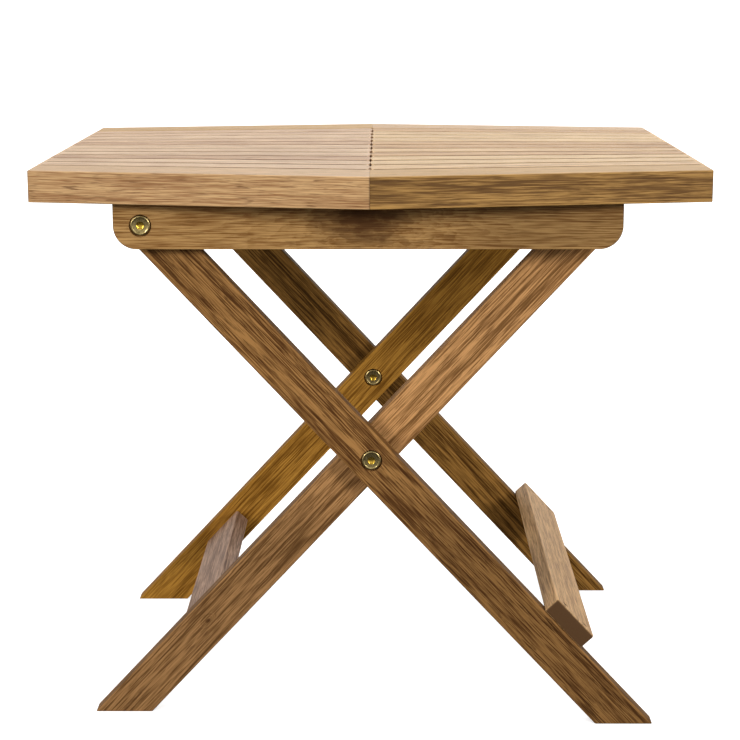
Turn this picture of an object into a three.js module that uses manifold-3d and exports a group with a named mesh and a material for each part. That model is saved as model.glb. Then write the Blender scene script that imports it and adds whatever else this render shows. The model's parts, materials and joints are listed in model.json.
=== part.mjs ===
// Folding side table in oiled acacia: a slatted top, an elongated hexagon in plan, on two crossed leg frames.
// Millimetres. +X runs across the crossed legs, +Y along their pivots to the rear, +Z up.
// The origin is on the floor, under the centre of the top.
import * as THREE from "three";
import { mergeVertices } from "three/addons/utils/BufferGeometryUtils.js";
import Module from "manifold-3d";

// Driving dimensions.
const HEIGHT = 500;
const TOP_HALF_WIDTH = 287;
const SEAM_HALF_LENGTH = 280;
const SIDE_HALF_LENGTH = 227;
const EDGE_BOARD_HEIGHT = 27;
const SLAT_HEIGHT = 13;
const SLATS_A_SIDE = 11;
const SLAT_PITCH = 40;
const SLAT_GAP = 6.5;
const SEAM_GAP = 0.6;
const FIT = 0.3;

const CENTRE_BATTEN_WIDTH = 70;
const MIDDLE_BATTEN_X = 110;
const MIDDLE_BATTEN_WIDTH = 40;
const END_BATTEN_X = 209;
const END_BATTEN_WIDTH = 46;

const RAIL_FACE_Y = 224;
const RAIL_THICKNESS = 18;
const RAIL_LEFT_X = -217;
const RAIL_RIGHT_X = 213.5;
const RAIL_HEIGHT = 40;
const RAIL_CORNER_RADIUS = 20;

const LEG_ANGLE = THREE.MathUtils.degToRad(47.1);
const LEG_WIDTH = 38;
const LEG_THICKNESS = 20;
const OUTER_LEG_FACE_Y = 202.5;
const LEG_CLEARANCE = 9;
const CROSSING_X = 0.8;
const CROSSING_Z = 243.5;
const PIVOT_REACH = 286;

const STRETCHER_REACH = 229;
const STRETCHER_WIDTH = 48;
const STRETCHER_THICKNESS = 16;
const TENON_WIDTH = 32;
const TENON_THICKNESS = 9;
const TENON_LENGTH = 12;
const TOP_BAR_RADIUS = 11;
const TOP_BAR_SPIGOT_RADIUS = 7;

const STOP_CLEAT_WIDTH = 15;
const STOP_CLEAT_HEIGHT = 16;
const STOP_CLEAT_HALF_LENGTH = 110;
const STOP_CLEAT_CLEARANCE = 2;

const BOLT_HEAD_RADIUS = 8.8;
const BOLT_HEAD_THICKNESS = 2.4;
const BOLT_HEAD_BEVEL = 0.9;
const BOLT_HEAD_RECESS = 0.5;
const BOLT_SHANK_RADIUS = 3;
const NUT_BARREL_RADIUS = 4.5;
const HEX_SOCKET_RADIUS = 3.3;
const HEX_SOCKET_DEPTH = 2;
const COUNTERBORE_RADIUS = 9.6;
const SPACER_RADIUS = 9;

const SCREW_HEAD_RADIUS = 3;
const SCREW_HEAD_DEPTH = 2;
const SCREW_SHANK_RADIUS = 1.6;
const SCREW_LENGTH = 38;
const SCREW_SPACING = 26;
const SCREW_RECESS = 0.4;

const ROUND_SEGMENTS = 24;
const ARC_SEGMENTS = 14;

// Worked out from the driving dimensions.
const TOP_UNDERSIDE_Z = HEIGHT - EDGE_BOARD_HEIGHT;
const SLAT_UNDERSIDE_Z = HEIGHT - SLAT_HEIGHT;
const SLAT_FIELD_HALF_LENGTH = (SLATS_A_SIDE * SLAT_PITCH) / 2;
const PIVOT_X = PIVOT_REACH * Math.cos(LEG_ANGLE);
const PIVOT_Z = CROSSING_Z + PIVOT_REACH * Math.sin(LEG_ANGLE);
const OUTER_LEG_INSIDE_Y = OUTER_LEG_FACE_Y - LEG_THICKNESS;
const INNER_LEG_FACE_Y = OUTER_LEG_INSIDE_Y - LEG_CLEARANCE;
const INNER_LEG_INSIDE_Y = INNER_LEG_FACE_Y - LEG_THICKNESS;
const RAIL_INSIDE_Y = RAIL_FACE_Y - RAIL_THICKNESS;
const COUNTERBORE_DEPTH = BOLT_HEAD_RECESS + BOLT_HEAD_THICKNESS + FIT;
const BOLT_HOLE_RADIUS = NUT_BARREL_RADIUS + FIT;

const wasm = await Module();
wasm.setup();

const wood = (color, roughness) => new THREE.MeshStandardMaterial({ color, roughness, metalness: 0 });
const slatWood = wood(0xc69c70, 0.6);
const lightEdgeWood = wood(0xa87c50, 0.55);
const darkEdgeWood = wood(0x8c6641, 0.55);
const railWood = wood(0x8f643e, 0.55);
const battenWood = wood(0xa97f55, 0.65);
const outerLegWood = wood(0x8a5f3a, 0.55);
const innerLegWood = wood(0x9a6c3c, 0.55);
const stretcherWood = wood(0x96704c, 0.6);
const brass = new THREE.MeshStandardMaterial({ color: 0xa58a4a, roughness: 0.35, metalness: 1 });
const steel = new THREE.MeshStandardMaterial({ color: 0x8c8a84, roughness: 0.4, metalness: 1 });

function toSolid(geometry) {
  const bare = geometry.index ? geometry.toNonIndexed() : geometry.clone();
  bare.deleteAttribute("normal");
  bare.deleteAttribute("uv");
  const merged = mergeVertices(bare, 1e-4);
  const vertProperties = new Float32Array(merged.attributes.position.array);
  const triVerts = new Uint32Array(merged.index.array);
  return new wasm.Manifold(new wasm.Mesh({ numProp: 3, vertProperties, triVerts }));
}

function fromSolid(solid) {
  const { vertProperties, triVerts } = solid.getMesh();
  const shared = new THREE.BufferGeometry();
  shared.setAttribute("position", new THREE.BufferAttribute(vertProperties, 3));
  shared.setIndex(new THREE.BufferAttribute(triVerts, 1));
  const faceted = shared.toNonIndexed();
  faceted.computeVertexNormals();
  return faceted;
}

// The first geometry with all the others cut out of it.
function cutOut(geometry, ...cutters) {
  return fromSolid(cutters.reduce((solid, cutter) => solid.subtract(toSolid(cutter)), toSolid(geometry)));
}

// Two geometries joined into one.
function joined(first, second) {
  return fromSolid(toSolid(first).add(toSolid(second)));
}

// A board lying flat: an outline in X and Y, from one height to another.
function flatBoard(points, bottom, top) {
  const shape = new THREE.Shape(points.map(([x, y]) => new THREE.Vector2(x, y)));
  const board = new THREE.ExtrudeGeometry(shape, { depth: top - bottom, bevelEnabled: false });
  return board.translate(0, 0, bottom);
}

// A board standing upright: an outline in X and Z, from one Y to another.
function uprightBoard(shape, near, far) {
  const options = { depth: far - near, bevelEnabled: false, curveSegments: ARC_SEGMENTS };
  return new THREE.ExtrudeGeometry(shape, options).rotateX(Math.PI / 2).translate(0, far, 0);
}

// A round piece about an axis along Y, from [radius, y] points that start and end on the axis.
function turned(profile, x, z) {
  const points = profile.map(([radius, y]) => new THREE.Vector2(radius, y));
  return new THREE.LatheGeometry(points, ROUND_SEGMENTS).translate(x, 0, z);
}

// The place in X and Z at a reach from the crossing towards the foot at +X, and an offset up from
// the leg's middle.
function besideLeg(reach, offset) {
  const x = reach * Math.cos(LEG_ANGLE) + offset * Math.sin(LEG_ANGLE);
  const z = CROSSING_Z - reach * Math.sin(LEG_ANGLE) + offset * Math.cos(LEG_ANGLE);
  return [x, z];
}

// A box whose width runs along the leg that has its foot at +X, centred at a reach and an offset
// from the crossing.
function boxAlongLeg(width, thickness, length, reach, offset, y) {
  const [x, z] = besideLeg(reach, offset);
  return new THREE.BoxGeometry(width, length, thickness).rotateY(LEG_ANGLE).translate(x, y, z);
}

const table = new THREE.Group();

// The leg frames and their pivots are drawn with the crossing at X 0, and this group sets them in place.
const legs = new THREE.Group();
legs.position.x = CROSSING_X;
table.add(legs);

function addMesh(group, name, geometry, material) {
  const mesh = new THREE.Mesh(geometry, material);
  mesh.name = name;
  group.add(mesh);
  return mesh;
}

// The piece as given at the front, and its mirror image at the rear. Across -1 mirrors both of them
// left to right.
function addFrontAndRear(group, name, geometry, material, across = 1) {
  addMesh(group, name + "_front", geometry, material).scale.set(across, 1, 1);
  addMesh(group, name + "_rear", geometry, material).scale.set(across, -1, 1);
}

// The piece as given at the right, and its mirror image at the left.
function addLeftAndRight(name, suffix, geometry, leftMaterial, rightMaterial) {
  addMesh(table, name + "_right" + suffix, geometry, rightMaterial);
  addMesh(table, name + "_left" + suffix, geometry, leftMaterial).scale.x = -1;
}

// How much the slats have narrowed at a distance from the seam: their edges all run to one point.
const fan = (x) => 1 - (1 - SIDE_HALF_LENGTH / SEAM_HALF_LENGTH) * (Math.abs(x) / TOP_HALF_WIDTH);

// Four corners of a board on the right half of the top, between two distances from the centre at the seam.
function fannedOutline(near, far) {
  const inner = SEAM_GAP / 2;
  const outer = TOP_HALF_WIDTH;
  return [
    [inner, near * fan(inner)],
    [outer, near * fan(outer)],
    [outer, far * fan(outer)],
    [inner, far * fan(inner)],
  ];
}

function addSlats() {
  for (let i = 0; i < SLATS_A_SIDE; i += 1) {
    const near = -SLAT_FIELD_HALF_LENGTH + i * SLAT_PITCH + SLAT_GAP / 2;
    const far = near + SLAT_PITCH - SLAT_GAP;
    const slat = flatBoard(fannedOutline(near, far), SLAT_UNDERSIDE_Z, HEIGHT);
    const number = String(i + 1).padStart(2, "0");
    addLeftAndRight("slat", "_" + number, slat, slatWood, slatWood);
  }
}

function addEdgeBoards() {
  const inner = SLAT_FIELD_HALF_LENGTH + SLAT_GAP / 2;
  const front = flatBoard(fannedOutline(-SEAM_HALF_LENGTH, -inner), TOP_UNDERSIDE_Z, HEIGHT);
  const rear = flatBoard(fannedOutline(inner, SEAM_HALF_LENGTH), TOP_UNDERSIDE_Z, HEIGHT);
  addLeftAndRight("edge_board", "_front", front, lightEdgeWood, darkEdgeWood);
  addLeftAndRight("edge_board", "_rear", rear, darkEdgeWood, lightEdgeWood);
}

// Battens run front to rear under the slats, between the edge boards.
function batten(x, width) {
  const halfLength = SLAT_FIELD_HALF_LENGTH * fan(Math.abs(x) + width / 2);
  const outline = [
    [x - width / 2, -halfLength],
    [x + width / 2, -halfLength],
    [x + width / 2, halfLength],
    [x - width / 2, halfLength],
  ];
  return flatBoard(outline, TOP_UNDERSIDE_Z, SLAT_UNDERSIDE_Z - FIT);
}

function addBattens() {
  addMesh(table, "batten_centre", batten(0, CENTRE_BATTEN_WIDTH), battenWood);
  const middle = batten(MIDDLE_BATTEN_X, MIDDLE_BATTEN_WIDTH);
  const end = batten(END_BATTEN_X, END_BATTEN_WIDTH);
  addLeftAndRight("batten", "_middle", middle, battenWood, battenWood);
  addLeftAndRight("batten", "_end", end, battenWood, battenWood);
}

// The cleat that the bar between the free leg tops bears against, so that the legs can't splay.
function addStopCleat() {
  const left = CROSSING_X + PIVOT_X + TOP_BAR_RADIUS + STOP_CLEAT_CLEARANCE;
  const right = left + STOP_CLEAT_WIDTH;
  const outline = [
    [left, -STOP_CLEAT_HALF_LENGTH],
    [right, -STOP_CLEAT_HALF_LENGTH],
    [right, STOP_CLEAT_HALF_LENGTH],
    [left, STOP_CLEAT_HALF_LENGTH],
  ];
  const top = TOP_UNDERSIDE_Z - FIT;
  addMesh(table, "stop_cleat", flatBoard(outline, top - STOP_CLEAT_HEIGHT, top), battenWood);
}

// A hole through the front wood, with a counterbore for a bolt or nut head in one of its faces.
function pivotHole(x, z, headFace, otherFace) {
  const inward = Math.sign(otherFace - headFace);
  const profile = [
    [0, headFace - inward],
    [COUNTERBORE_RADIUS, headFace - inward],
    [COUNTERBORE_RADIUS, headFace + inward * COUNTERBORE_DEPTH],
    [BOLT_HOLE_RADIUS, headFace + inward * COUNTERBORE_DEPTH],
    [BOLT_HOLE_RADIUS, otherFace + inward],
    [0, otherFace + inward],
  ];
  return turned(inward > 0 ? profile : profile.reverse(), x, z);
}

function addRails() {
  const top = TOP_UNDERSIDE_Z - FIT;
  const bottom = top - RAIL_HEIGHT;
  const radius = RAIL_CORNER_RADIUS;
  const outline = new THREE.Shape();
  outline.moveTo(RAIL_RIGHT_X, top);
  outline.lineTo(RAIL_LEFT_X, top);
  outline.absarc(RAIL_LEFT_X + radius, bottom + radius, radius, Math.PI, 1.5 * Math.PI);
  outline.absarc(RAIL_RIGHT_X - radius, bottom + radius, radius, 1.5 * Math.PI, 2 * Math.PI);
  const board = uprightBoard(outline, -RAIL_FACE_Y, -RAIL_INSIDE_Y);
  const hole = pivotHole(CROSSING_X - PIVOT_X, PIVOT_Z, -RAIL_FACE_Y, -RAIL_INSIDE_Y);
  addFrontAndRear(table, "rail", cutOut(board, hole), railWood);
}

// The outline of a leg with its foot at +X: round at its top, about the pivot, and cut level at the floor.
function legOutline() {
  const half = LEG_WIDTH / 2;
  const footCentre = CROSSING_Z / Math.tan(LEG_ANGLE);
  const footHalf = half / Math.sin(LEG_ANGLE);
  const outline = new THREE.Shape();
  outline.moveTo(footCentre - footHalf, 0);
  outline.lineTo(footCentre + footHalf, 0);
  outline.absarc(-PIVOT_X, PIVOT_Z, half, Math.PI / 2 - LEG_ANGLE, 1.5 * Math.PI - LEG_ANGLE);
  outline.closePath();
  return outline;
}

// A countersunk screw's profile, its head's face at 0; a hole for it is the same with extra room all round.
function screwProfile(extra) {
  const rise = extra > 0 ? 1 : 0;
  return [
    [0, -SCREW_LENGTH - extra],
    [SCREW_SHANK_RADIUS + extra, -SCREW_LENGTH - extra],
    [SCREW_SHANK_RADIUS + extra, -SCREW_HEAD_DEPTH],
    [SCREW_HEAD_RADIUS + extra, 0],
    [SCREW_HEAD_RADIUS + extra, rise],
    [0, rise],
  ].filter(([radius, y], i, all) => i === 0 || radius !== all[i - 1][0] || y !== all[i - 1][1]);
}

// A screw, or the hole for one, driven square into the leg through the stretcher that lies on it.
function screwInLeg(reach, y, extra) {
  const [x, z] = besideLeg(reach, LEG_WIDTH / 2 + FIT + STRETCHER_THICKNESS - SCREW_RECESS);
  const upright = turned(screwProfile(extra), 0, 0).rotateX(Math.PI / 2);
  return upright.rotateY(LEG_ANGLE).translate(x, y, z);
}

const screwY = -(OUTER_LEG_FACE_Y - LEG_THICKNESS / 2);
const screwReaches = {
  upper: STRETCHER_REACH - SCREW_SPACING / 2,
  lower: STRETCHER_REACH + SCREW_SPACING / 2,
};

function addOuterFrame() {
  const leg = uprightBoard(legOutline(), -OUTER_LEG_FACE_Y, -OUTER_LEG_INSIDE_Y);
  const topHole = pivotHole(-PIVOT_X, PIVOT_Z, -OUTER_LEG_INSIDE_Y, -OUTER_LEG_FACE_Y);
  const crossHole = pivotHole(0, CROSSING_Z, -OUTER_LEG_FACE_Y, -OUTER_LEG_INSIDE_Y);
  const reaches = Object.values(screwReaches);
  const screwHoles = reaches.map((reach) => screwInLeg(reach, screwY, FIT));
  const rearScrewHoles = reaches.map((reach) => screwInLeg(reach, -screwY, FIT));
  addFrontAndRear(legs, "outer_leg", cutOut(leg, topHole, crossHole, ...screwHoles), outerLegWood);

  const offset = LEG_WIDTH / 2 + FIT + STRETCHER_THICKNESS / 2;
  const length = 2 * OUTER_LEG_FACE_Y;
  const board = boxAlongLeg(STRETCHER_WIDTH, STRETCHER_THICKNESS, length, STRETCHER_REACH, offset, 0);
  addMesh(legs, "outer_stretcher", cutOut(board, ...screwHoles, ...rearScrewHoles), stretcherWood);
  for (const [place, reach] of Object.entries(screwReaches)) {
    addFrontAndRear(legs, "stretcher_screw_" + place, screwInLeg(reach, screwY, 0), steel);
  }
}

// The inner legs cross the outer ones, so every piece here is made with its foot at +X and then mirrored.
function addInnerFrame() {
  const leg = uprightBoard(legOutline(), -INNER_LEG_FACE_Y, -INNER_LEG_INSIDE_Y);
  const crossHole = pivotHole(0, CROSSING_Z, -INNER_LEG_INSIDE_Y, -INNER_LEG_FACE_Y);
  const mortise = boxAlongLeg(
    TENON_WIDTH + 2 * FIT,
    TENON_THICKNESS + 2 * FIT,
    2 * (TENON_LENGTH + FIT),
    STRETCHER_REACH,
    0,
    -INNER_LEG_INSIDE_Y,
  );
  const socketEnd = -INNER_LEG_INSIDE_Y - TENON_LENGTH - FIT;
  const socket = turned(
    [
      [0, socketEnd],
      [TOP_BAR_SPIGOT_RADIUS + FIT, socketEnd],
      [TOP_BAR_SPIGOT_RADIUS + FIT, -INNER_LEG_INSIDE_Y + 1],
      [0, -INNER_LEG_INSIDE_Y + 1],
    ],
    -PIVOT_X,
    PIVOT_Z,
  );
  addFrontAndRear(legs, "inner_leg", cutOut(leg, crossHole, mortise, socket), innerLegWood, -1);

  const shoulder = INNER_LEG_INSIDE_Y - FIT;
  const tip = INNER_LEG_INSIDE_Y + TENON_LENGTH;
  const board = boxAlongLeg(STRETCHER_WIDTH, STRETCHER_THICKNESS, 2 * shoulder, STRETCHER_REACH, 0, 0);
  const tenon = boxAlongLeg(TENON_WIDTH, TENON_THICKNESS, 2 * tip, STRETCHER_REACH, 0, 0);
  addMesh(legs, "inner_stretcher", joined(board, tenon), stretcherWood).scale.x = -1;

  const bar = [
    [0, -tip],
    [TOP_BAR_SPIGOT_RADIUS, -tip],
    [TOP_BAR_SPIGOT_RADIUS, -shoulder],
    [TOP_BAR_RADIUS, -shoulder],
    [TOP_BAR_RADIUS, shoulder],
    [TOP_BAR_SPIGOT_RADIUS, shoulder],
    [TOP_BAR_SPIGOT_RADIUS, tip],
    [0, tip],
  ];
  addMesh(legs, "top_bar", turned(bar, PIVOT_X, PIVOT_Z), battenWood);
}

// The hexagon socket in a head whose face is at the given Y.
function hexSocket(x, z, face) {
  const depth = 2 * HEX_SOCKET_DEPTH;
  return new THREE.CylinderGeometry(HEX_SOCKET_RADIUS, HEX_SOCKET_RADIUS, depth, 6).translate(x, face, z);
}

// A flat-headed connector bolt, screwed into a long cap nut that comes through from the other side.
function addPivot(name, x, z, headFace, nutFace) {
  const face = headFace + BOLT_HEAD_RECESS;
  const headEnd = face + BOLT_HEAD_THICKNESS;
  const nutEnd = nutFace - BOLT_HEAD_RECESS;
  const nutHeadStart = nutEnd - BOLT_HEAD_THICKNESS;
  const boreEnd = nutHeadStart - BOLT_HEAD_THICKNESS;
  const rim = BOLT_HEAD_RADIUS - BOLT_HEAD_BEVEL;
  const bolt = turned(
    [
      [0, face],
      [rim, face],
      [BOLT_HEAD_RADIUS, face + BOLT_HEAD_BEVEL],
      [BOLT_HEAD_RADIUS, headEnd],
      [BOLT_SHANK_RADIUS, headEnd],
      [BOLT_SHANK_RADIUS, boreEnd - FIT],
      [0, boreEnd - FIT],
    ],
    x,
    z,
  );
  const nut = turned(
    [
      [0, boreEnd],
      [BOLT_SHANK_RADIUS + FIT, boreEnd],
      [BOLT_SHANK_RADIUS + FIT, headEnd + 2 * FIT],
      [NUT_BARREL_RADIUS, headEnd + 2 * FIT],
      [NUT_BARREL_RADIUS, nutHeadStart],
      [BOLT_HEAD_RADIUS, nutHeadStart],
      [BOLT_HEAD_RADIUS, nutEnd - BOLT_HEAD_BEVEL],
      [rim, nutEnd],
      [0, nutEnd],
    ],
    x,
    z,
  );
  addFrontAndRear(legs, name + "_bolt", cutOut(bolt, hexSocket(x, z, face)), brass);
  addFrontAndRear(legs, name + "_nut", cutOut(nut, hexSocket(x, z, nutEnd)), brass);
}

// A washer or spacer around a pivot, in the gap between two boards.
function addSpacer(name, x, z, near, far) {
  const inner = BOLT_HOLE_RADIUS;
  const ring = [
    [inner, near + FIT],
    [SPACER_RADIUS, near + FIT],
    [SPACER_RADIUS, far - FIT],
    [inner, far - FIT],
    [inner, near + FIT],
  ];
  addFrontAndRear(legs, name, turned(ring, x, z), brass);
}

addSlats();
addEdgeBoards();
addBattens();
addStopCleat();
addRails();
addOuterFrame();
addInnerFrame();
addPivot("top_pivot", -PIVOT_X, PIVOT_Z, -RAIL_FACE_Y, -OUTER_LEG_INSIDE_Y);
addPivot("cross_pivot", 0, CROSSING_Z, -OUTER_LEG_FACE_Y, -INNER_LEG_INSIDE_Y);
addSpacer("top_pivot_washer", -PIVOT_X, PIVOT_Z, -RAIL_INSIDE_Y, -OUTER_LEG_FACE_Y);
addSpacer("cross_pivot_spacer", 0, CROSSING_Z, -OUTER_LEG_INSIDE_Y, -INNER_LEG_FACE_Y);

export default table;
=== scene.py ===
"""Looks of the folding acacia side table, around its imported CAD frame.

Every board gets a copy with eased edges and grain along it. The round bar and every bolt, nut, washer, spacer
and screw get turned pieces. Lengths are in metres.
"""

import json
import math
import random

import bmesh
import bpy
from mathutils import Euler, Matrix, Vector


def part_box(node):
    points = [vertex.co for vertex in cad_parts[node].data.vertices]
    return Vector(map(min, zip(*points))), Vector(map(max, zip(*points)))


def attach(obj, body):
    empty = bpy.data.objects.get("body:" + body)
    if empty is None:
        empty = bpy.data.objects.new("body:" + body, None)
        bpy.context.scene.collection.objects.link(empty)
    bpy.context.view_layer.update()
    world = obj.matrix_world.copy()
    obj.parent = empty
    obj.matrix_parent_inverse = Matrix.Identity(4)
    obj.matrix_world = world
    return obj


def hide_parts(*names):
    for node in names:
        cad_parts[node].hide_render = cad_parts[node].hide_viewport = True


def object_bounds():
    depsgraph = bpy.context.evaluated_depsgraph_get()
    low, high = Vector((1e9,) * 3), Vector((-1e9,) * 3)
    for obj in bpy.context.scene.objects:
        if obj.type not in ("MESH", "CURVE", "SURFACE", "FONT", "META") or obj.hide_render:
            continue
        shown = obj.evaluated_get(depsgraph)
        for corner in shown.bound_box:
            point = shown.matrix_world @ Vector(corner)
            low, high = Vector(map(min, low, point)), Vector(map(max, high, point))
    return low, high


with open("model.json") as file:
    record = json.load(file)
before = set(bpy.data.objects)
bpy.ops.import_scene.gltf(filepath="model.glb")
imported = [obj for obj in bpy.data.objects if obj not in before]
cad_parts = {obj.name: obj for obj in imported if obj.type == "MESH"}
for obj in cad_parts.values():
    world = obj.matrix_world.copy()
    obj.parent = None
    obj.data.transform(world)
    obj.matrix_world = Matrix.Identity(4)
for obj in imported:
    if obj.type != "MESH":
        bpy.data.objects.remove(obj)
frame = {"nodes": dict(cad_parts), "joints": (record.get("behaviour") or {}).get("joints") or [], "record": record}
cad_box = [list(corner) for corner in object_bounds()]

NODES = frame["nodes"]
BODIES = {
    node: body
    for body, members in frame["record"]["behaviour"]["bodies"].items()
    for node in members
}
JOINTS = {joint["name"]: joint for joint in frame["joints"]}

# The frame's own geometry.
TOP_PIVOT = Vector(JOINTS["top_lift"]["pos_m"])
CROSSING = Vector(JOINTS["leg_scissor"]["pos_m"])
LEG_ANGLE = math.atan2(TOP_PIVOT.z - CROSSING.z, CROSSING.x - TOP_PIVOT.x)
HALF_WIDTH = cad_box[1][0]
SEAM_HALF_LENGTH = cad_box[1][1]

X_AXIS, Y_AXIS, Z_AXIS = Vector((1, 0, 0)), Vector((0, 1, 0)), Vector((0, 0, 1))
OUTER_LEG_DOWN = Vector((math.cos(LEG_ANGLE), 0, -math.sin(LEG_ANGLE)))
OUTER_LEG_UPPER_SIDE = Vector((math.sin(LEG_ANGLE), 0, math.cos(LEG_ANGLE)))
INNER_LEG_DOWN = Vector((-OUTER_LEG_DOWN.x, 0, OUTER_LEG_DOWN.z))
INNER_LEG_UPPER_SIDE = Vector((-OUTER_LEG_UPPER_SIDE.x, 0, OUTER_LEG_UPPER_SIDE.z))

# The seam across the top: half its gap, and how far a slat's end bows back from it at the slat's sides.
SEAM_HALF_GAP = 0.00006
SLAT_END_BOW = 0.0017
SLAT_END_CUTS = 8
SEAM_REACH = SLAT_END_BOW + 0.001

# How far the edges are eased, in how many steps, and the angles from which an edge is eased and shaded sharp.
SLAT_EASE = 0.0005
SEAM_EASE = 0.0001
EDGE_BOARD_EASE = 0.0009
LEG_EASE = 0.0022
FOOT_EASE = 0.0008
STRETCHER_EASE = 0.0018
RAIL_EASE = 0.0012
HIDDEN_EASE = 0.0012
EASE_SEGMENTS = 4
SHARP_ANGLE = math.radians(30)
SMOOTH_ANGLE = math.radians(40)

# How near counts as the same point, as on a face, on the top's side, and on the floor.
MERGE_DISTANCE = 1e-5
ON_FACE = 2e-5
ON_SIDE = 1e-4
ON_FLOOR = 0.001

# The metalwork.
HEAD_RADIUS = 0.0088
HEAD_THICKNESS = 0.0024
SOCKET_RADIUS = 0.0030
SOCKET_DEPTH = 0.0019
SHANK_RADIUS = 0.0030
BARREL_RADIUS = 0.0045
BORE_RADIUS = 0.0033
SCREW_RADIUS = 0.0030
SCREW_SHANK_RADIUS = 0.0016

# The round bar's spigots, and the points round each turned piece.
SPIGOT_RADIUS = 0.0070
SPIGOT_LENGTH = 0.0123
RING_POINTS = 72

# How often each figure of the wood repeats per metre along, across and through a board.
RING_WANDER = (2.4, 16, 16)
FINE_GRAIN = (28, 1000, 1000)
COARSE_GRAIN = (7, 200, 200)
HEARTWOOD_BANDS = (2.2, 52, 52)
CROSS_FIGURE = (20, 90, 90)
OPEN_PORES = (55, 800, 800)
KNOT_OUTLINE = (55, 130, 130)
STRIPE_WANDER = (5, 20, 20)
# The patches along the painted edge highlight.
EDGE_HIGHLIGHT_PATCHES = (30, 90, 90)
RINGS_PER_METRE = 170.0

# Distances from a board's edges between which its colour changes, and the length over which a stripe dies out.
# The paler edges are a painted highlight, and the darker sides of a slat below its upper face are painted shade,
# which stops short of the ends. The paler upper face of an edge board is a painted sheen.
EDGE_HIGHLIGHT_WIDTH = (0.0004, 0.0022)
END_GRAIN = (0.0, 0.0012)
GAP_SHADE_DEPTH = (0.00006, 0.00035)
UNSHADED_END = (0.002, 0.004)
UPPER_FACE = (0.0002, 0.0009)
STRIPE_END = 0.08

# The camera's place and turn, and its lens and sensor width in millimetres.
CAMERA_SENSOR = 36
CAMERA_PLACE = (0.0099, -1.8570, 0.6630)
CAMERA_DOWN = math.radians(11.56)
CAMERA_LEFT = math.radians(0.355)
CAMERA_ROLL = math.radians(0.074)
CAMERA_LENS = 94.9

# A colour mix node's inputs and output, which share their names with its other kinds'.
MIX_FIRST, MIX_SECOND, MIX_RESULT = 6, 7, 2


# ---------------------------------------------------------------- materials


def srgb(red, green, blue):
    """A colour given as 0 to 255 screen values, as linear RGBA."""

    def linear(value):
        value /= 255
        return value / 12.92 if value <= 0.04045 else ((value + 0.055) / 1.055) ** 2.4

    return (linear(red), linear(green), linear(blue), 1.0)


class Graph:
    """A short way to write a node tree: each method adds a node and returns its output socket."""

    def __init__(self, owner):
        owner.use_nodes = True
        self.owner = owner
        self.tree = owner.node_tree
        self.shader = self.tree.nodes.get("Principled BSDF")

    def link(self, value, socket):
        if isinstance(value, bpy.types.NodeSocket):
            self.tree.links.new(value, socket)
        else:
            socket.default_value = value

    def node(self, kind, inputs=(), **settings):
        made = self.tree.nodes.new("ShaderNode" + kind)
        for key, value in settings.items():
            setattr(made, key, value)
        for key, value in dict(inputs).items():
            self.link(value, made.inputs[key])
        return made

    def attribute(self, name):
        return self.node("Attribute", attribute_name=name).outputs["Vector"]

    def math(self, operation, first, second=0.0):
        return self.node("Math", {0: first, 1: second}, operation=operation).outputs[0]

    def total(self, *terms):
        """The sum of some values, each given alone or as (value, weight)."""
        result = 0.0
        for term in terms:
            value = self.math("MULTIPLY", *term) if isinstance(term, tuple) else term
            result = self.math("ADD", value, result)
        return result

    def vector_math(self, operation, first, second=(0, 0, 0)):
        made = self.node("VectorMath", {0: first, 1: second}, operation=operation)
        return made.outputs["Value" if operation in ("LENGTH", "DISTANCE") else "Vector"]

    def separate(self, vector):
        return self.node("SeparateXYZ", {0: vector}).outputs

    def combine(self, x, y, z):
        return self.node("CombineXYZ", {0: x, 1: y, 2: z}).outputs[0]

    def noise(self, vector, stretch, detail=2.0, roughness=0.5, distortion=0.0):
        """Noise whose frequency is given per metre along, across and through the board, centred on 0."""
        stretched = self.vector_math("MULTIPLY", vector, stretch)
        inputs = {
            "Vector": stretched,
            "Scale": 1.0,
            "Detail": detail,
            "Roughness": roughness,
            "Distortion": distortion,
        }
        return self.math("SUBTRACT", self.node("TexNoise", inputs).outputs["Fac"], 0.5)

    def step(self, value, low, high, result_low=0.0, result_high=1.0):
        """A smooth step from one result to another as the value goes from low to high."""
        inputs = {0: value, 1: low, 2: high, 3: result_low, 4: result_high}
        made = self.node("MapRange", inputs, interpolation_type="SMOOTHSTEP")
        return made.outputs[0]

    def ramp(self, value, stops):
        made = self.node("ValToRGB", {0: value})
        elements = made.color_ramp.elements
        while len(elements) < len(stops):
            elements.new(0.5)
        for element, (position, color) in zip(elements, stops):
            element.position = position
            element.color = color
        return made.outputs["Color"]

    def mix(self, factor, first, second):
        made = self.node("Mix", data_type="RGBA", clamp_factor=True)
        self.link(factor, made.inputs["Factor"])
        self.link(first, made.inputs[MIX_FIRST])
        self.link(second, made.inputs[MIX_SECOND])
        return made.outputs[MIX_RESULT]


def shaded(color, factor, warmth=1.0):
    """A colour made darker, or lighter, with its blue falling faster than its red as warmth rises."""
    return (color[0] * factor, color[1] * factor / warmth, color[2] * factor / warmth**2, 1.0)


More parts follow.
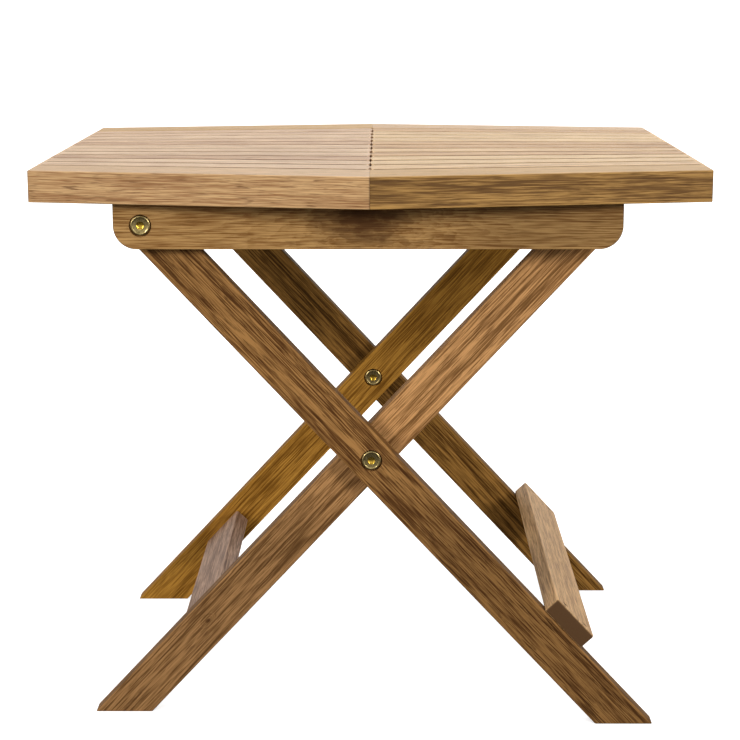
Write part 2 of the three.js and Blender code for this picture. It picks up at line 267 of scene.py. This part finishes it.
class Wood(Graph):
    """The nodes of a wood, built on what add_grain writes on each wooden piece: board, half and grain."""

    def __init__(self, name):
        super().__init__(bpy.data.materials.new(name))
        self.grain = self.attribute("grain")
        self.board = self.separate(self.attribute("board"))
        self.half = self.separate(self.attribute("half"))
        self.from_end, self.from_side, self.from_face = [
            self.math("SUBTRACT", self.half[i], self.math("ABSOLUTE", self.board[i])) for i in range(3)
        ]

    def rings(self, knots):
        """Growth rings about a wandering pith, pushed out round each knot, and how dark the knots are."""
        _, across, through = self.separate(self.grain)[:3]
        radius = self.vector_math("LENGTH", self.combine(0.0, across, through))
        wander = self.noise(self.grain, RING_WANDER, detail=3)
        phase = self.total((radius, RINGS_PER_METRE), (wander, 6.0))
        knot_shade = 0.0
        for along, side, size, darkness in knots:
            offset = self.combine(
                self.math("MULTIPLY", self.math("SUBTRACT", self.board[0], along), 0.6),
                self.math("SUBTRACT", self.board[1], side),
                0.0,
            )
            outline = self.noise(self.grain, KNOT_OUTLINE, detail=4, roughness=0.6)
            ragged = self.math("MULTIPLY", outline, size * 1.6)
            distance = self.math("ADD", self.vector_math("LENGTH", offset), ragged)
            phase = self.math("ADD", phase, self.step(distance, 0.0, size * 3.2, 3.4, 0.0))
            shade = self.step(distance, size * 0.1, size * 1.3, darkness, 0.0)
            knot_shade = self.math("MAXIMUM", knot_shade, shade)
        ring = self.math("FRACT", phase)
        ring = self.math("MULTIPLY", self.step(ring, 0.0, 0.75), self.step(ring, 0.85, 1.0, 1.0, 0.0))
        return ring, knot_shade

    def striped(self, tone, stripes):
        """The tone with lengthwise stripes that wander a little and die out where they end."""
        for side, width, lightness, end in stripes:
            wobble = self.math("MULTIPLY", self.noise(self.grain, STRIPE_WANDER, detail=3), width * 0.9)
            distance = self.math("ABSOLUTE", self.total(self.board[1], wobble, -side))
            stripe = self.step(distance, width * 0.25, width * 1.4, lightness, 0.0)
            lasting = self.step(self.board[0], end - STRIPE_END, end, 1.0, 0.0)
            tone = self.total(tone, (stripe, lasting))
        return tone

    def faded(self, color, fades):
        for start, stop, factor in fades:
            fade = self.step(self.board[0], start, stop, 1.0, factor)
            color = self.vector_math("MULTIPLY", color, self.combine(fade, fade, fade))
        return color

    def wear_and_edge_highlight(self, color, light, dark, end_shade):
        """Painted highlights make the edges paler, and the end grain drinks more oil and goes darker."""
        edge = self.step(self.math("MAXIMUM", self.from_side, self.from_face), *EDGE_HIGHLIGHT_WIDTH, 1.0, 0.0)
        patches = self.step(self.noise(self.grain, EDGE_HIGHLIGHT_PATCHES, detail=2), -0.20, 0.12, 0.3, 1.0)
        edge = self.math("MULTIPLY", edge, patches)
        color = self.mix(self.math("MULTIPLY", edge, 0.55), color, shaded(light, 1.35))
        end = self.step(self.from_end, *END_GRAIN, 1.0, 0.0)
        return self.mix(self.math("MULTIPLY", end, end_shade), color, shaded(dark, 0.22, 1.15))

    def shade_gaps(self, color, dark, gap_shade):
        """Painted shade in the gaps between slats: below the upper face, and not near the ends."""
        depth = self.math("SUBTRACT", self.half[2], self.board[2])
        below = self.step(depth, *GAP_SHADE_DEPTH, 0.0, gap_shade)
        gap_darkening = self.math("MULTIPLY", below, self.step(self.from_end, *UNSHADED_END))
        return self.mix(gap_darkening, color, shaded(dark, 0.18, 1.1))


def acacia(
    name,
    light,
    dark,
    lines=1.0,
    streaks=0.7,
    figure=0.5,
    dashes=0.5,
    mottle=0.5,
    stripes=(),
    knots=(),
    fades=(),
    gap_shade=0.0,
    shine=0.3,
    end_shade=0.3,
    top_sheen=None,
):
    """Oiled acacia between a light and a dark colour.

    Lines, streaks, figure, dashes and mottle say how strongly fine grain, coarse grain, broad bands, open
    pores and cross figure show. Places on the board are in metres from its middle. Stripes are (across,
    half width, lightness, along where they end). Knots are (along, across, radius, darkness). Fades are
    (from along, to along, factor) and multiply the colour beyond the second place. The gap shade is painted
    shade: it darkens the board below its upper face, in the gaps between slats. Its edges are painted paler,
    a painted highlight. End_shade darkens its end grain, shine is the oil's, and the top sheen is the colour
    of an edge board's upper face, painted paler as a painted sheen of the light from above.
    """
    g = Wood(name)
    ring, knot_shade = g.rings(knots)
    fine = g.noise(g.grain, FINE_GRAIN, detail=2, roughness=0.6)
    coarse = g.noise(g.grain, COARSE_GRAIN, detail=4, roughness=0.62, distortion=0.4)
    bands = g.noise(g.grain, HEARTWOOD_BANDS, detail=5, roughness=0.62, distortion=0.8)
    cross = g.noise(g.grain, CROSS_FIGURE, detail=4, roughness=0.65)
    pores = g.noise(g.grain, OPEN_PORES, detail=2, roughness=0.6)
    pore = g.math("MULTIPLY", g.step(pores, 0.03, 0.17), g.step(cross, -0.14, 0.10, 0.25, 1.0))
    pore_shade = g.math("MULTIPLY", pore, dashes)
    tone = g.total(
        0.5,
        (fine, 2.6 * lines),
        (coarse, 1.1 * streaks),
        (bands, 1.9 * figure),
        (cross, 0.6 * mottle),
        (g.math("SUBTRACT", ring, 0.4), 0.22 * lines),
    )
    tone = g.striped(tone, stripes)

    shades = [(0.0, shaded(dark, 0.80)), (0.22, dark), (0.78, light), (1.0, shaded(light, 1.10))]
    color = g.mix(pore_shade, g.ramp(tone, shades), shaded(dark, 0.45, 1.12))
    if knots:
        color = g.mix(knot_shade, color, shaded(dark, 0.30, 1.3))
    # Painted highlights on the edges, and darker end grain.
    color = g.wear_and_edge_highlight(g.faded(color, fades), light, dark, end_shade)
    # Painted shade in the gaps between slats, below their upper faces.
    if gap_shade:
        color = g.shade_gaps(color, dark, gap_shade)
    # Painted sheen: an edge board's upper face is painted paler than its sides, as the light from above makes it
    # look.
    if top_sheen:
        upper = g.step(g.math("SUBTRACT", g.half[1], g.board[1]), *UPPER_FACE, 1.0, 0.0)
        painted_sheen = g.ramp(tone, [(0.2, shaded(top_sheen, 0.72)), (0.8, top_sheen)])
        color = g.mix(upper, color, g.mix(pore_shade, painted_sheen, shaded(top_sheen, 0.4, 1.1)))

    relief = g.total((fine, 0.8), (pore_shade, -0.5))
    bump = g.node("Bump", {"Strength": 0.7, "Distance": 0.0003, "Height": relief})
    g.link(color, g.shader.inputs["Base Color"])
    g.link(g.total(0.52, (fine, 0.30), (pore, 0.10)), g.shader.inputs["Roughness"])
    g.link(bump.outputs[0], g.shader.inputs["Normal"])
    g.shader.inputs["Specular IOR Level"].default_value = shine
    return g.owner


def metal(name, wear_and_edge_highlight, bright, roughness):
    """Plated metal with a mottled patina and fine turning scratches."""
    g = Graph(bpy.data.materials.new(name))
    place = g.node("TexCoord").outputs["Object"]
    patina = g.noise(place, (420, 420, 420), detail=4, roughness=0.65)
    scratches = g.noise(place, (1800, 300, 2600), detail=3)
    tone = g.total(0.5, (patina, 0.9), (scratches, 0.5))
    bump = g.node("Bump", {"Strength": 0.2, "Distance": 0.00004, "Height": scratches})
    g.link(g.ramp(tone, [(0.30, wear_and_edge_highlight), (0.70, bright)]), g.shader.inputs["Base Color"])
    g.link(g.total(roughness, (scratches, 0.2)), g.shader.inputs["Roughness"])
    g.link(bump.outputs[0], g.shader.inputs["Normal"])
    g.shader.inputs["Metallic"].default_value = 1.0
    return g.owner


# ---------------------------------------------------------------- boards


def outer_edges(bm):
    """The sharp edges between faces on the board's outside, and not those of its holes."""
    outside = set()
    for face in bm.faces:
        base = face.verts[0].co
        if all((vert.co - base).dot(face.normal) < ON_FACE for vert in bm.verts):
            outside.add(face)
    return [
        edge
        for edge in bm.edges
        if len(edge.link_faces) == 2
        and all(face in outside for face in edge.link_faces)
        and edge.calc_face_angle(0) > SHARP_ANGLE
    ]


def at_seam(vert):
    """Whether a point is on the end of a board of the top that meets the seam."""
    return abs(vert.co.x) < SEAM_REACH


def bow_end(bm):
    """Bows a slat's end, so that it meets the other half's slat at the seam with a notch at each side."""
    ends = [vert.co.y for vert in bm.verts if at_seam(vert)]
    middle = (min(ends) + max(ends)) / 2
    half = (max(ends) - min(ends)) / 2
    for i in range(1, SLAT_END_CUTS):
        cut = Vector((0, middle + half * (2 * i / SLAT_END_CUTS - 1), 0))
        everything = [*bm.verts, *bm.edges, *bm.faces]
        bmesh.ops.bisect_plane(bm, geom=everything, dist=1e-6, plane_co=cut, plane_no=Y_AXIS)
    for vert in bm.verts:
        if at_seam(vert):
            bow = SLAT_END_BOW * ((vert.co.y - middle) / half) ** 2
            vert.co.x = math.copysign(SEAM_HALF_GAP + bow, vert.co.x)
    bm.normal_update()


def ease_outside(bm, radius_of):
    """Rounds each of the outer edges to a radius of its own, in one bevel so that the corners close."""
    weights = bm.edges.layers.float.new("bevel_weight_edge")
    edges = {edge: radius_of(edge) for edge in outer_edges(bm)}
    widest = max(edges.values())
    for edge, radius in edges.items():
        edge[weights] = radius / widest
    mesh = bpy.data.meshes.new("uneased")
    bm.to_mesh(mesh)
    holder = bpy.data.objects.new("uneased", mesh)
    bpy.context.scene.collection.objects.link(holder)
    bevel = holder.modifiers.new("ease", "BEVEL")
    bevel.limit_method = "WEIGHT"
    bevel.width = widest
    bevel.segments = EASE_SEGMENTS
    depsgraph = bpy.context.evaluated_depsgraph_get()
    eased = bpy.data.meshes.new_from_object(holder.evaluated_get(depsgraph))
    bm.clear()
    bm.from_mesh(eased)
    bpy.data.objects.remove(holder)
    bpy.data.meshes.remove(mesh)
    bpy.data.meshes.remove(eased)


def finish_piece(bm, name, node, *materials):
    """Turns mesh code into a piece that stands for a CAD node and rides with it."""
    bmesh.ops.recalc_face_normals(bm, faces=bm.faces)
    mesh = bpy.data.meshes.new(name)
    bm.to_mesh(mesh)
    bm.free()
    for material in materials:
        mesh.materials.append(material)
    mesh.set_sharp_from_angle(angle=SMOOTH_ANGLE)
    piece = bpy.data.objects.new(name, mesh)
    bpy.context.scene.collection.objects.link(piece)
    weighted = piece.modifiers.new("weighted_normals", "WEIGHTED_NORMAL")
    weighted.keep_sharp = True
    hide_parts(node)
    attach(piece, BODIES[node])
    return piece


def fan_slope():
    """How fast the top narrows away from the seam, from the far end of a front edge board."""
    vertices = [vertex.co for vertex in NODES["edge_board_right_front"].data.vertices]
    side_half_length = max(abs(v.y) for v in vertices if v.x > HALF_WIDTH - ON_SIDE)
    return (1 - side_half_length / SEAM_HALF_LENGTH) / HALF_WIDTH


FAN_SLOPE = fan_slope()


def fan(x):
    """The width of the top's boards at a distance from the seam, as a share of that at the seam."""
    return 1 - FAN_SLOPE * abs(x)


def make_board(node, material, radius, along, across, fanned=False, bowed=False):
    """A copy of a CAD board with eased edges, and with grain that runs along it.

    Its edges stay crisper on the floor and, on the fanned boards of the top, at the seam, where a bowed
    board's end is also rounded in plan.
    """
    bm = bmesh.new()
    bm.from_mesh(NODES[node].data)
    bmesh.ops.remove_doubles(bm, verts=bm.verts, dist=MERGE_DISTANCE)
    bmesh.ops.dissolve_limit(bm, angle_limit=math.radians(0.5), verts=bm.verts, edges=bm.edges)
    bm.normal_update()
    if fanned:
        for vert in bm.verts:
            if at_seam(vert):
                vert.co.x = math.copysign(SEAM_HALF_GAP, vert.co.x)
    if bowed:
        bow_end(bm)

    def radius_of(edge):
        if fanned and all(at_seam(vert) for vert in edge.verts):
            return SEAM_EASE
        if all(vert.co.z < ON_FLOOR for vert in edge.verts):
            return FOOT_EASE
        return radius

    ease_outside(bm, radius_of)
    piece = finish_piece(bm, node + "_board", node, material)
    add_grain(piece, node, along, across, fanned)


def add_grain(piece, node, along, across, fanned=False):
    """Writes where each point of a wooden piece is, along, across and through the board.

    board is the place from the board's middle, half is the board's half sizes, and grain is the place in
    the log that the board was sawn from, whose pith is a random way off.
    """
    rng = random.Random(node)
    through = along.cross(across)
    points = [vertex.co for vertex in piece.data.vertices]
    if fanned:
        points = [Vector((point.x, point.y / fan(point.x), point.z)) for point in points]
    places = [Vector((point.dot(along), point.dot(across), point.dot(through))) for point in points]
    low = Vector([min(place[i] for place in places) for i in range(3)])
    high = Vector([max(place[i] for place in places) for i in range(3)])
    middle = (low + high) / 2
    half = (high - low) / 2
    along_log = rng.uniform(0, 40)
    beside_pith = rng.choice((-1, 1)) * rng.uniform(0.01, 0.05)
    above_pith = rng.uniform(0.03, 0.10)
    place_in_log = Vector((along_log, beside_pith, above_pith))
    for name, value_at in (
        ("board", lambda place: place - middle),
        ("half", lambda place: half),
        ("grain", lambda place: place - middle + place_in_log),
    ):
        attribute = piece.data.attributes.new(name, "FLOAT_VECTOR", "POINT")
        for item, place in zip(attribute.data, places):
            item.vector = value_at(place)


# ---------------------------------------------------------------- turned pieces


def axis_ends(node, axis):
    """The middles of a round CAD node's two end faces: the one furthest along the axis, then the other."""
    points = {tuple(round(value, 5) for value in vertex.co) for vertex in NODES[node].data.vertices}
    ends = []
    for sign in (1, -1):
        reach = max(sign * Vector(point).dot(axis) for point in points)
        face = [Vector(point) for point in points if sign * Vector(point).dot(axis) > reach - ON_FACE]
        ends.append(sum(face, Vector()) / len(face))
    return ends


def circle(radius):
    """The radius at a turn round a circle."""
    return lambda turn: radius


def hexagon(radius):
    """The radius at a turn round a hexagon with corners at the given radius."""
    flat = math.pi / 3
    return lambda turn: radius * math.cos(flat / 2) / math.cos(turn % flat - flat / 2)


def cross_slot(inner, outer):
    """The radius at a turn round a cross-shaped driver slot."""
    return lambda turn: inner + (outer - inner) * abs(math.cos(2 * turn)) ** 6


def turned(rings, start, axis, closed=False):
    """A surface through rings, each an outline and a depth from the start along the axis.

    Unless it is closed on itself, its first and last items are depths on the axis.
    """
    bm = bmesh.new()
    side = axis.orthogonal().normalized() if abs(axis.y) < 0.5 else X_AXIS
    other = axis.cross(side)
    turns = [math.tau * i / RING_POINTS for i in range(RING_POINTS)]

    def ring_of_points(outline, depth):
        made = []
        for turn in turns:
            outward = side * math.cos(turn) + other * math.sin(turn)
            made.append(bm.verts.new(start + axis * depth + outward * outline(turn)))
        return made

    middle = rings if closed else rings[1:-1]
    loops = [ring_of_points(*ring) for ring in middle]
    pairs = list(zip(loops, loops[1:]))
    if closed:
        pairs.append((loops[-1], loops[0]))
    for first, second in pairs:
        for i in range(RING_POINTS):
            j = (i + 1) % RING_POINTS
            bm.faces.new((first[i], first[j], second[j], second[i]))
    if not closed:
        for depth, loop in ((rings[0], loops[0]), (rings[-1], loops[-1])):
            tip = bm.verts.new(start + axis * depth)
            for i in range(RING_POINTS):
                bm.faces.new((loop[i], loop[(i + 1) % RING_POINTS], tip))
    return bm


def rounded(radius, depth, corner, sign=1):
    """A rounded outer corner, from the face at a depth round to the side, or back when the sign is -1."""
    steps = 5
    turns = [math.pi / 2 * i / steps for i in range(steps + 1)]
    arc = [
        (circle(radius - corner + corner * math.sin(turn)), depth + sign * corner * (1 - math.cos(turn)))
        for turn in turns
    ]
    return arc if sign > 0 else arc[::-1]


def socket_head(radius, thickness):
    """A flat head with a raised rim and a hexagon socket, from the socket's bottom to its underside."""
    dish = 0.00030
    return [
        SOCKET_DEPTH + 0.0006,
        (hexagon(SOCKET_RADIUS), SOCKET_DEPTH),
        (hexagon(SOCKET_RADIUS), dish + 0.0003),
        (circle(SOCKET_RADIUS + 0.0004), dish),
        (circle(radius - 0.0026), dish),
        (circle(radius - 0.0022), dish * 0.5),
        (circle(radius - 0.0018), 0.00003),
        *rounded(radius, 0.0, 0.0013),
        (circle(radius), thickness - 0.0003),
        (circle(radius - 0.0003), thickness),
    ]


def paint_socket(piece, start, axis):
    """Gives a head's socket the second material, a brighter gold that paints the reflection in the socket."""
    for face in piece.data.polygons:
        offset = Vector(face.center) - start
        depth = offset.dot(axis)
        if (offset - axis * depth).length < SOCKET_RADIUS + 0.0003 and 0 < depth < SOCKET_DEPTH + 0.001:
            face.material_index = 1


def make_bolt(node, axis):
    """A flat-headed bolt whose axis runs from its face into the wood."""
    tip, face = axis_ends(node, axis)
    length = (tip - face).dot(axis)
    rings = socket_head(HEAD_RADIUS, HEAD_THICKNESS) + [
        (circle(SHANK_RADIUS), HEAD_THICKNESS),
        (circle(SHANK_RADIUS), length - 0.0005),
        (circle(SHANK_RADIUS - 0.0005), length),
        length,
    ]
    piece = finish_piece(turned(rings, face, axis), node + "_turned", node, BRASS, SOCKET_GLINT)
    paint_socket(piece, face, axis)


def make_nut(node, axis):
    """A cap nut: a bolt's head on a barrel with a blind bore."""
    tip, face = axis_ends(node, axis)
    length = (tip - face).dot(axis)
    bore_end = 2 * HEAD_THICKNESS
    rings = socket_head(HEAD_RADIUS, HEAD_THICKNESS) + [
        (circle(BARREL_RADIUS), HEAD_THICKNESS),
        (circle(BARREL_RADIUS), length),
        (circle(BORE_RADIUS), length),
        (circle(BORE_RADIUS), bore_end),
        bore_end,
    ]
    piece = finish_piece(turned(rings, face, axis), node + "_turned", node, BRASS, SOCKET_GLINT)
    paint_socket(piece, face, axis)


def make_washer(node):
    """A washer or a spacer: a rounded ring on the cap nut's barrel."""
    low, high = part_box(node)
    bore = BARREL_RADIUS + 0.0003
    radius = (high[0] - low[0]) / 2
    start = Vector(((low[0] + high[0]) / 2, low[1], (low[2] + high[2]) / 2))
    thickness = high[1] - low[1]
    rings = [
        (circle(bore), 0.0),
        *rounded(radius, 0.0, 0.0004),
        *rounded(radius, thickness, 0.0004, -1),
        (circle(bore), thickness),
    ]
    finish_piece(turned(rings, start, Y_AXIS, closed=True), node + "_turned", node, BRASS)


def make_screw(node):
    """A countersunk screw with a cross slot, driven square into the leg."""
    axis = -OUTER_LEG_UPPER_SIDE
    tip, face = axis_ends(node, axis)
    length = (tip - face).dot(axis)
    rings = [
        0.0014,
        (cross_slot(0.0003, 0.0008), 0.0012),
        (cross_slot(0.0006, 0.0018), 0.0002),
        (cross_slot(0.0008, 0.0020), 0.0),
        (circle(SCREW_RADIUS - 0.0002), 0.0),
        (circle(SCREW_RADIUS), 0.0002),
        (circle(SCREW_SHANK_RADIUS), 0.0020),
        (circle(SCREW_SHANK_RADIUS), length - 0.004),
        (circle(0.0003), length),
        length,
    ]
    finish_piece(turned(rings, face, axis), node + "_turned", node, SCREW)


def make_top_bar():
    """The round rail between the free leg tops, with a spigot at each end."""
    node = "top_bar"
    low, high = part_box(node)
    start = Vector(((low[0] + high[0]) / 2, low[1], (low[2] + high[2]) / 2))
    radius = (high[0] - low[0]) / 2
    length = high[1] - low[1]
    chamfer = 0.0008
    half = [
        (circle(SPIGOT_RADIUS - chamfer), 0.0),
        (circle(SPIGOT_RADIUS), chamfer),
        (circle(SPIGOT_RADIUS), SPIGOT_LENGTH),
        (circle(radius - chamfer), SPIGOT_LENGTH),
        (circle(radius), SPIGOT_LENGTH + chamfer),
    ]
    middle = [(circle(radius), length * i / 8) for i in range(1, 8)]
    mirrored = [(outline, length - depth) for outline, depth in reversed(half)]
    bar = turned([0.0, *half, *middle, *mirrored, length], start, Y_AXIS)
    piece = finish_piece(bar, node + "_turned", node, BATTEN)
    add_grain(piece, node, Y_AXIS, X_AXIS)


# ---------------------------------------------------------------- the table's woods and metals

# The left half's slats are pinker than the right half's.
# The slats' sides below their upper faces get painted shade, in the gaps between them.
SLAT_LOOK = {"lines": 1.3, "streaks": 1.7, "gap_shade": 0.92, "end_shade": 0.0}
PINK_SLATS = [
    acacia(
        "slat_wood_pink",
        srgb(218, 186, 152),
        srgb(174, 136, 106),
        figure=0.4,
        dashes=0.5,
        **SLAT_LOOK,
    ),
    acacia(
        "slat_wood_rose",
        srgb(208, 174, 140),
        srgb(162, 122, 92),
        figure=0.5,
        dashes=0.6,
        **SLAT_LOOK,
    ),
    acacia(
        "slat_wood_blush",
        srgb(224, 194, 160),
        srgb(182, 146, 116),
        figure=0.3,
        dashes=0.4,
        **SLAT_LOOK,
    ),
]
CREAM_SLATS = [
    acacia(
        "slat_wood_cream",
        srgb(223, 189, 145),
        srgb(181, 143, 102),
        figure=0.4,
        dashes=0.5,
        **SLAT_LOOK,
    ),
    acacia(
        "slat_wood_tan",
        srgb(210, 172, 128),
        srgb(166, 126, 85),
        figure=0.5,
        dashes=0.6,
        **SLAT_LOOK,
    ),
    acacia(
        "slat_wood_straw",
        srgb(227, 195, 150),
        srgb(187, 151, 108),
        figure=0.3,
        dashes=0.4,
        **SLAT_LOOK,
    ),
]
# Each edge board's upper face has a paler colour of its own: a painted sheen of the light from above.
EDGE_LIGHT = acacia(
    "edge_wood_light",
    srgb(200, 160, 110),
    srgb(154, 108, 64),
    figure=0.25,
    dashes=0.85,
    mottle=0.9,
    top_sheen=srgb(216, 180, 140),
)
EDGE_DARK = acacia(
    "edge_wood_dark",
    srgb(174, 132, 72),
    srgb(112, 77, 34),
    figure=0.45,
    dashes=0.6,
    mottle=0.9,
    stripes=((0.004, 0.007, -0.20, 1.0),),
    shine=0.2,
    top_sheen=srgb(206, 168, 118),
)
RAIL = acacia(
    "rail_wood",
    srgb(186, 144, 88),
    srgb(132, 90, 44),
    lines=0.9,
    streaks=0.5,
    figure=0.35,
    dashes=0.5,
    knots=((-0.004, 0.006, 0.027, 0.92), (0.012, 0.008, 0.014, 0.90)),
    fades=((0.02, 0.14, 0.72),),
    shine=0.1,
)
BATTEN = acacia("batten_wood", srgb(176, 138, 90), srgb(134, 98, 56), figure=0.4, dashes=0.3)
LEG_FRONT_OUTER = acacia(
    "leg_wood_streaky",
    srgb(160, 116, 66),
    srgb(94, 60, 29),
    lines=1.3,
    streaks=0.8,
    figure=0.2,
    dashes=0.8,
    stripes=((-0.003, 0.004, 0.28, 0.02), (0.011, 0.005, -0.14, 0.05)),
    fades=((-0.05, 0.10, 0.65),),
    shine=0.04,
)
LEG_FRONT_INNER = acacia(
    "leg_wood_brown",
    srgb(152, 112, 70),
    srgb(98, 67, 36),
    lines=1.1,
    streaks=0.5,
    figure=0.3,
    dashes=0.6,
    knots=((0.193, 0.002, 0.0020, 0.8),),
    fades=((0.09, -0.04, 1.90),),
    shine=0.04,
)
LEG_REAR_INNER = acacia(
    "leg_wood_golden",
    srgb(158, 112, 44),
    srgb(106, 68, 18),
    streaks=0.4,
    figure=0.2,
    dashes=0.4,
    # This fade is painted shade: the lower part is 1.25 times lighter, so the upper part stays darker, as in the
    # top's shadow.
    fades=((-0.10, 0.05, 1.25),),
    shine=0.04,
)
LEG_REAR_OUTER = acacia(
    "leg_wood_dark",
    srgb(132, 94, 44),
    srgb(72, 46, 14),
    lines=1.1,
    streaks=0.5,
    figure=0.3,
    dashes=0.5,
    stripes=((0.004, 0.004, -0.22, 1.0),),
    # This fade is painted shade: the lower part is 1.25 times lighter, so the upper part stays darker, as in the
    # top's shadow.
    fades=((-0.10, 0.05, 1.25),),
    shine=0.04,
)
STRETCHER_OUTER = acacia(
    "stretcher_wood_outer",
    srgb(216, 174, 122),
    srgb(168, 126, 80),
    figure=0.3,
    dashes=0.45,
    mottle=0.8,
    shine=0.2,
    end_shade=1.0,
)
STRETCHER_INNER = acacia(
    "stretcher_wood_inner",
    srgb(190, 154, 128),
    srgb(128, 96, 74),
    figure=0.35,
    dashes=0.5,
    shine=0.2,
)
BRASS = metal("antique_brass", srgb(124, 104, 58), srgb(206, 184, 128), 0.28)
# The socket's brass is a brighter gold than the head's: a painted reflection of the light in the socket.
SOCKET_GLINT = metal("socket_glint_brass", srgb(180, 136, 40), srgb(236, 198, 84), 0.25)
SCREW = metal("screw_metal", srgb(44, 36, 28), srgb(84, 72, 58), 0.45)


# ---------------------------------------------------------------- the table's pieces

for node in sorted(NODES):
    outward = -Y_AXIS if node.endswith("_front") else Y_AXIS
    if node.startswith("slat_"):
        woods = PINK_SLATS if "left" in node else CREAM_SLATS
        wood = woods[random.Random(node + "wood").randrange(len(woods))]
        make_board(node, wood, SLAT_EASE, X_AXIS, Y_AXIS, fanned=True, bowed=True)
    elif node.startswith("edge_board_"):
        light = node in ("edge_board_left_front", "edge_board_right_rear")
        make_board(node, EDGE_LIGHT if light else EDGE_DARK, EDGE_BOARD_EASE, X_AXIS, Z_AXIS, fanned=True)
    elif node.startswith("batten_") or node == "stop_cleat":
        make_board(node, BATTEN, HIDDEN_EASE, Y_AXIS, X_AXIS)
    elif node.startswith("rail_"):
        make_board(node, RAIL, RAIL_EASE, X_AXIS, Z_AXIS)
    elif "pivot_bolt" in node:
        make_bolt(node, -outward)
    elif "pivot_nut" in node:
        make_nut(node, outward)
    elif "pivot_washer" in node or "pivot_spacer" in node:
        make_washer(node)
    elif "screw" in node:
        make_screw(node)

make_top_bar()
for node, wood in (("outer_leg_front", LEG_FRONT_OUTER), ("outer_leg_rear", LEG_REAR_OUTER)):
    make_board(node, wood, LEG_EASE, OUTER_LEG_DOWN, OUTER_LEG_UPPER_SIDE)
for node, wood in (("inner_leg_front", LEG_FRONT_INNER), ("inner_leg_rear", LEG_REAR_INNER)):
    make_board(node, wood, LEG_EASE, INNER_LEG_DOWN, INNER_LEG_UPPER_SIDE)
make_board("outer_stretcher", STRETCHER_OUTER, STRETCHER_EASE, Y_AXIS, OUTER_LEG_DOWN)
make_board("inner_stretcher", STRETCHER_INNER, STRETCHER_EASE, Y_AXIS, INNER_LEG_DOWN)


# ---------------------------------------------------------------- floor, light and camera


def make_floor():
    """A pale light table, too large to see the end of. It throws no light back on the object."""
    floor_radius = 90
    drop = 0.0002
    bpy.ops.mesh.primitive_circle_add(
        vertices=96, radius=floor_radius, fill_type="NGON", location=(0, 0, -drop)
    )
    floor = bpy.context.object
    floor.name = "floor"
    floor.visible_diffuse = False
    floor.visible_glossy = False
    g = Graph(bpy.data.materials.new("floor_paper"))
    speckle = g.noise(g.node("TexCoord").outputs["Object"], (40, 40, 40), detail=3)
    paper = g.ramp(g.total(0.5, speckle), [(0.3, srgb(240, 240, 240)), (0.7, srgb(243, 243, 243))])
    g.link(paper, g.shader.inputs["Base Color"])
    g.shader.inputs["Roughness"].default_value = 0.9
    g.shader.inputs["Specular IOR Level"].default_value = 0.1
    g.shader.inputs["Emission Color"].default_value = (1, 1, 1, 1)
    g.shader.inputs["Emission Strength"].default_value = 0.66
    floor.data.materials.append(g.owner)


def make_softbox(name, strength, spread, elevation, left):
    """A soft light of some spread, from an elevation and from left of the front, all in degrees."""
    lamp = bpy.data.lights.new(name, "SUN")
    lamp.energy = strength
    lamp.angle = math.radians(spread)
    sun = bpy.data.objects.new(name, lamp)
    sun.rotation_euler = Euler((math.radians(90 - elevation), 0, math.radians(-left)))
    bpy.context.scene.collection.objects.link(sun)


def make_light():
    """White walls all round, a dimmer ceiling and a dark studio floor, with four softboxes."""
    world = bpy.data.worlds.new("studio")
    bpy.context.scene.world = world
    g = Graph(world)
    height = g.separate(g.node("TexCoord").outputs["Generated"])[2]
    below_wall = g.step(height, -0.20, 0.0, 0.06, 0.85)
    ceiling = g.step(height, 0.20, 0.65, 0.0, -0.48)
    background = world.node_tree.nodes["Background"]
    background.inputs["Color"].default_value = (1, 1, 1, 1)
    g.link(g.math("ADD", below_wall, ceiling), background.inputs["Strength"])
    make_softbox("overhead_softbox", 1.1, 50, 75, 20)
    make_softbox("front_left_softbox", 1.0, 12, 15, 34)
    make_softbox("front_right_softbox", 1.1, 12, 15, -34)
    make_softbox("back_softbox", 0.8, 50, 36, 200)


def make_camera():
    """A camera in front of the table and a little above its top, looking slightly down."""
    data = bpy.data.cameras.new("camera")
    data.sensor_width = CAMERA_SENSOR
    data.lens = CAMERA_LENS
    camera = bpy.data.objects.new("camera", data)
    level = Matrix.Rotation(CAMERA_LEFT, 4, "Z") @ Matrix.Rotation(math.pi / 2 - CAMERA_DOWN, 4, "X")
    camera.matrix_world = Matrix.Translation(CAMERA_PLACE) @ level @ Matrix.Rotation(-CAMERA_ROLL, 4, "Z")
    bpy.context.scene.collection.objects.link(camera)
    bpy.context.scene.camera = camera


make_floor()
make_light()
make_camera()
bpy.context.scene.view_settings.view_transform = "Standard"
